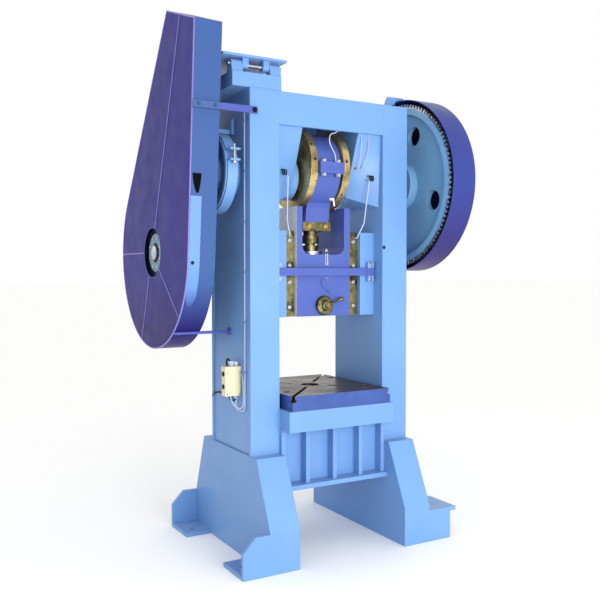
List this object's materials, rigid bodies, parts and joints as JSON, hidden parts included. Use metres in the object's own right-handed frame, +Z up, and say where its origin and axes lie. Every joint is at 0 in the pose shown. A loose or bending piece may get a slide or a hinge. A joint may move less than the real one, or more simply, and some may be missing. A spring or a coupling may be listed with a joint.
{
  "type": "mechanical stamping press",
  "caption": "Straight-side stamping press: welded frame, crank-driven slide in bronze gibs, bolster with crossed T-slots, flywheel in a tapered belt guard, gear in a drum cover.",
  "frame": {"origin": "floor level, at the centre of the rectangle of the four foundation-bolt holes, under the crankshaft axis and on the press centre line", "axes": "+Z up; X across the press along the crankshaft with the belt guard at -X and the main gear at +X; -Y is the front, the operator side"},
  "size_m": [1.832, 1.61, 3.3043],
  "materials": {
    "frame_blue": "gloss enamel",
    "guard_violet": "gloss enamel",
    "ram_violet": "gloss enamel",
    "brass": "oily machined bronze",
    "bright_steel": "turned and ground",
    "black_steel": "black oxide",
    "cast_iron": "machined casting",
    "cream_enamel": "baked enamel",
    "pipe_nylon": "nylon tube"
  },
  "bodies": {
    "frame": {"left_column": "frame_blue", "right_column": "frame_blue", "crown": "frame_blue", "bed_plate": "frame_blue", "bed_box": "frame_blue", "left_leg": "frame_blue", "right_leg": "frame_blue", "bolster_plate": "ram_violet", "bolster_bolts": "black_steel", "left_bearing_housing": "frame_blue", "right_bearing_housing": "frame_blue", "main_bushes": "brass", "left_drive_pedestal": "frame_blue", "right_drive_pedestal": "frame_blue", "left_gib_bracket": "frame_blue", "right_gib_bracket": "frame_blue", "front_gibs": "brass", "rear_gibs": "brass", "gib_bolts": "bright_steel", "stop_bar": "ram_violet", "hexagon_bolts": "black_steel", "belt_guard": "guard_violet", "guard_strap": "frame_blue", "guard_brace": "black_steel", "gear_cover": "guard_violet", "gear_cover_arms": "frame_blue", "brake_band": "black_steel", "brake_anchor": "frame_blue", "motor_block": "frame_blue", "motor_hinge_lugs": "frame_blue", "motor_hinge_rod": "bright_steel", "motor_adjusting_studs": "bright_steel", "lubricator": "cream_enamel", "lubricator_fittings": "pipe_nylon", "side_oil_pipe": "pipe_nylon", "pipe_clips": "bright_steel", "gib_oil_pipes": "pipe_nylon"},
    "crank": {"crankshaft": "bright_steel", "main_gear": "frame_blue", "gear_end_plate": "bright_steel", "brake_drum": "cast_iron"},
    "drive": {"drive_shaft": "bright_steel", "pinion": "cast_iron"},
    "flywheel": {"flywheel": "cast_iron", "flywheel_bearing": "brass", "clutch_cover": "cast_iron", "clutch_cover_bolts": "bright_steel"},
    "pitman": {"pitman": "ram_violet", "pitman_cap": "ram_violet", "pitman_bush": "brass", "pitman_bolts": "bright_steel", "screw_lock_plate": "brass"},
    "ram": {"slide": "ram_violet", "ball_seat": "brass", "ball_retaining_ring": "bright_steel"},
    "screw": {"adjusting_screw": "brass"},
    "clamp": {"clamp_nut": "brass"},
    "motor_mount": {"motor_plate": "frame_blue"}
  },
  "joints": [
    {"name": "crank_turn", "type": "hinge", "parent": "frame", "child": "crank", "pos_m": [0, 0, 2.328], "axis": [1, 0, 0], "range_deg": [0, 180]},
    {"name": "drive_turn", "type": "hinge", "parent": "frame", "child": "drive", "pos_m": [0, 0.405, 1.85197], "axis": [1, 0, 0], "range_deg": [-1321, 1]},
    {"name": "flywheel_turn", "type": "hinge", "parent": "frame", "child": "flywheel", "pos_m": [0, 0.405, 1.85197], "axis": [1, 0, 0], "continuous": true},
    {"name": "slide_stroke", "type": "slide", "parent": "frame", "child": "pitman", "axis": [0, 0, 1], "range_m": [-0.1005, 0.0005]},
    {"name": "die_height", "type": "slide", "parent": "pitman", "child": "ram", "axis": [0, 0, 1], "range_m": [-0.05, 0.02]},
    {"name": "screw_turn", "type": "hinge", "parent": "ram", "child": "screw", "pos_m": [0, 0, 1.8], "axis": [0, 0, 1], "range_deg": [-1802, 722]},
    {"name": "clamp_turn", "type": "hinge", "parent": "ram", "child": "clamp", "pos_m": [0, -0.172, 1.515], "axis": [0, -1, 0], "range_deg": [0, 120]},
    {"name": "motor_tilt", "type": "hinge", "parent": "frame", "child": "motor_mount", "pos_m": [0, -0.243, 2.94], "axis": [1, 0, 0], "range_deg": [0, 2]}
  ],
  "couplings": [
    {"joint": "drive_turn", "follows": "crank_turn", "ratio": -7.3333},
    {"joint": "slide_stroke", "follows": "crank_turn", "m_per_rad": -0.031831},
    {"joint": "screw_turn", "follows": "die_height", "rad_per_m": 628.32}
  ]
}
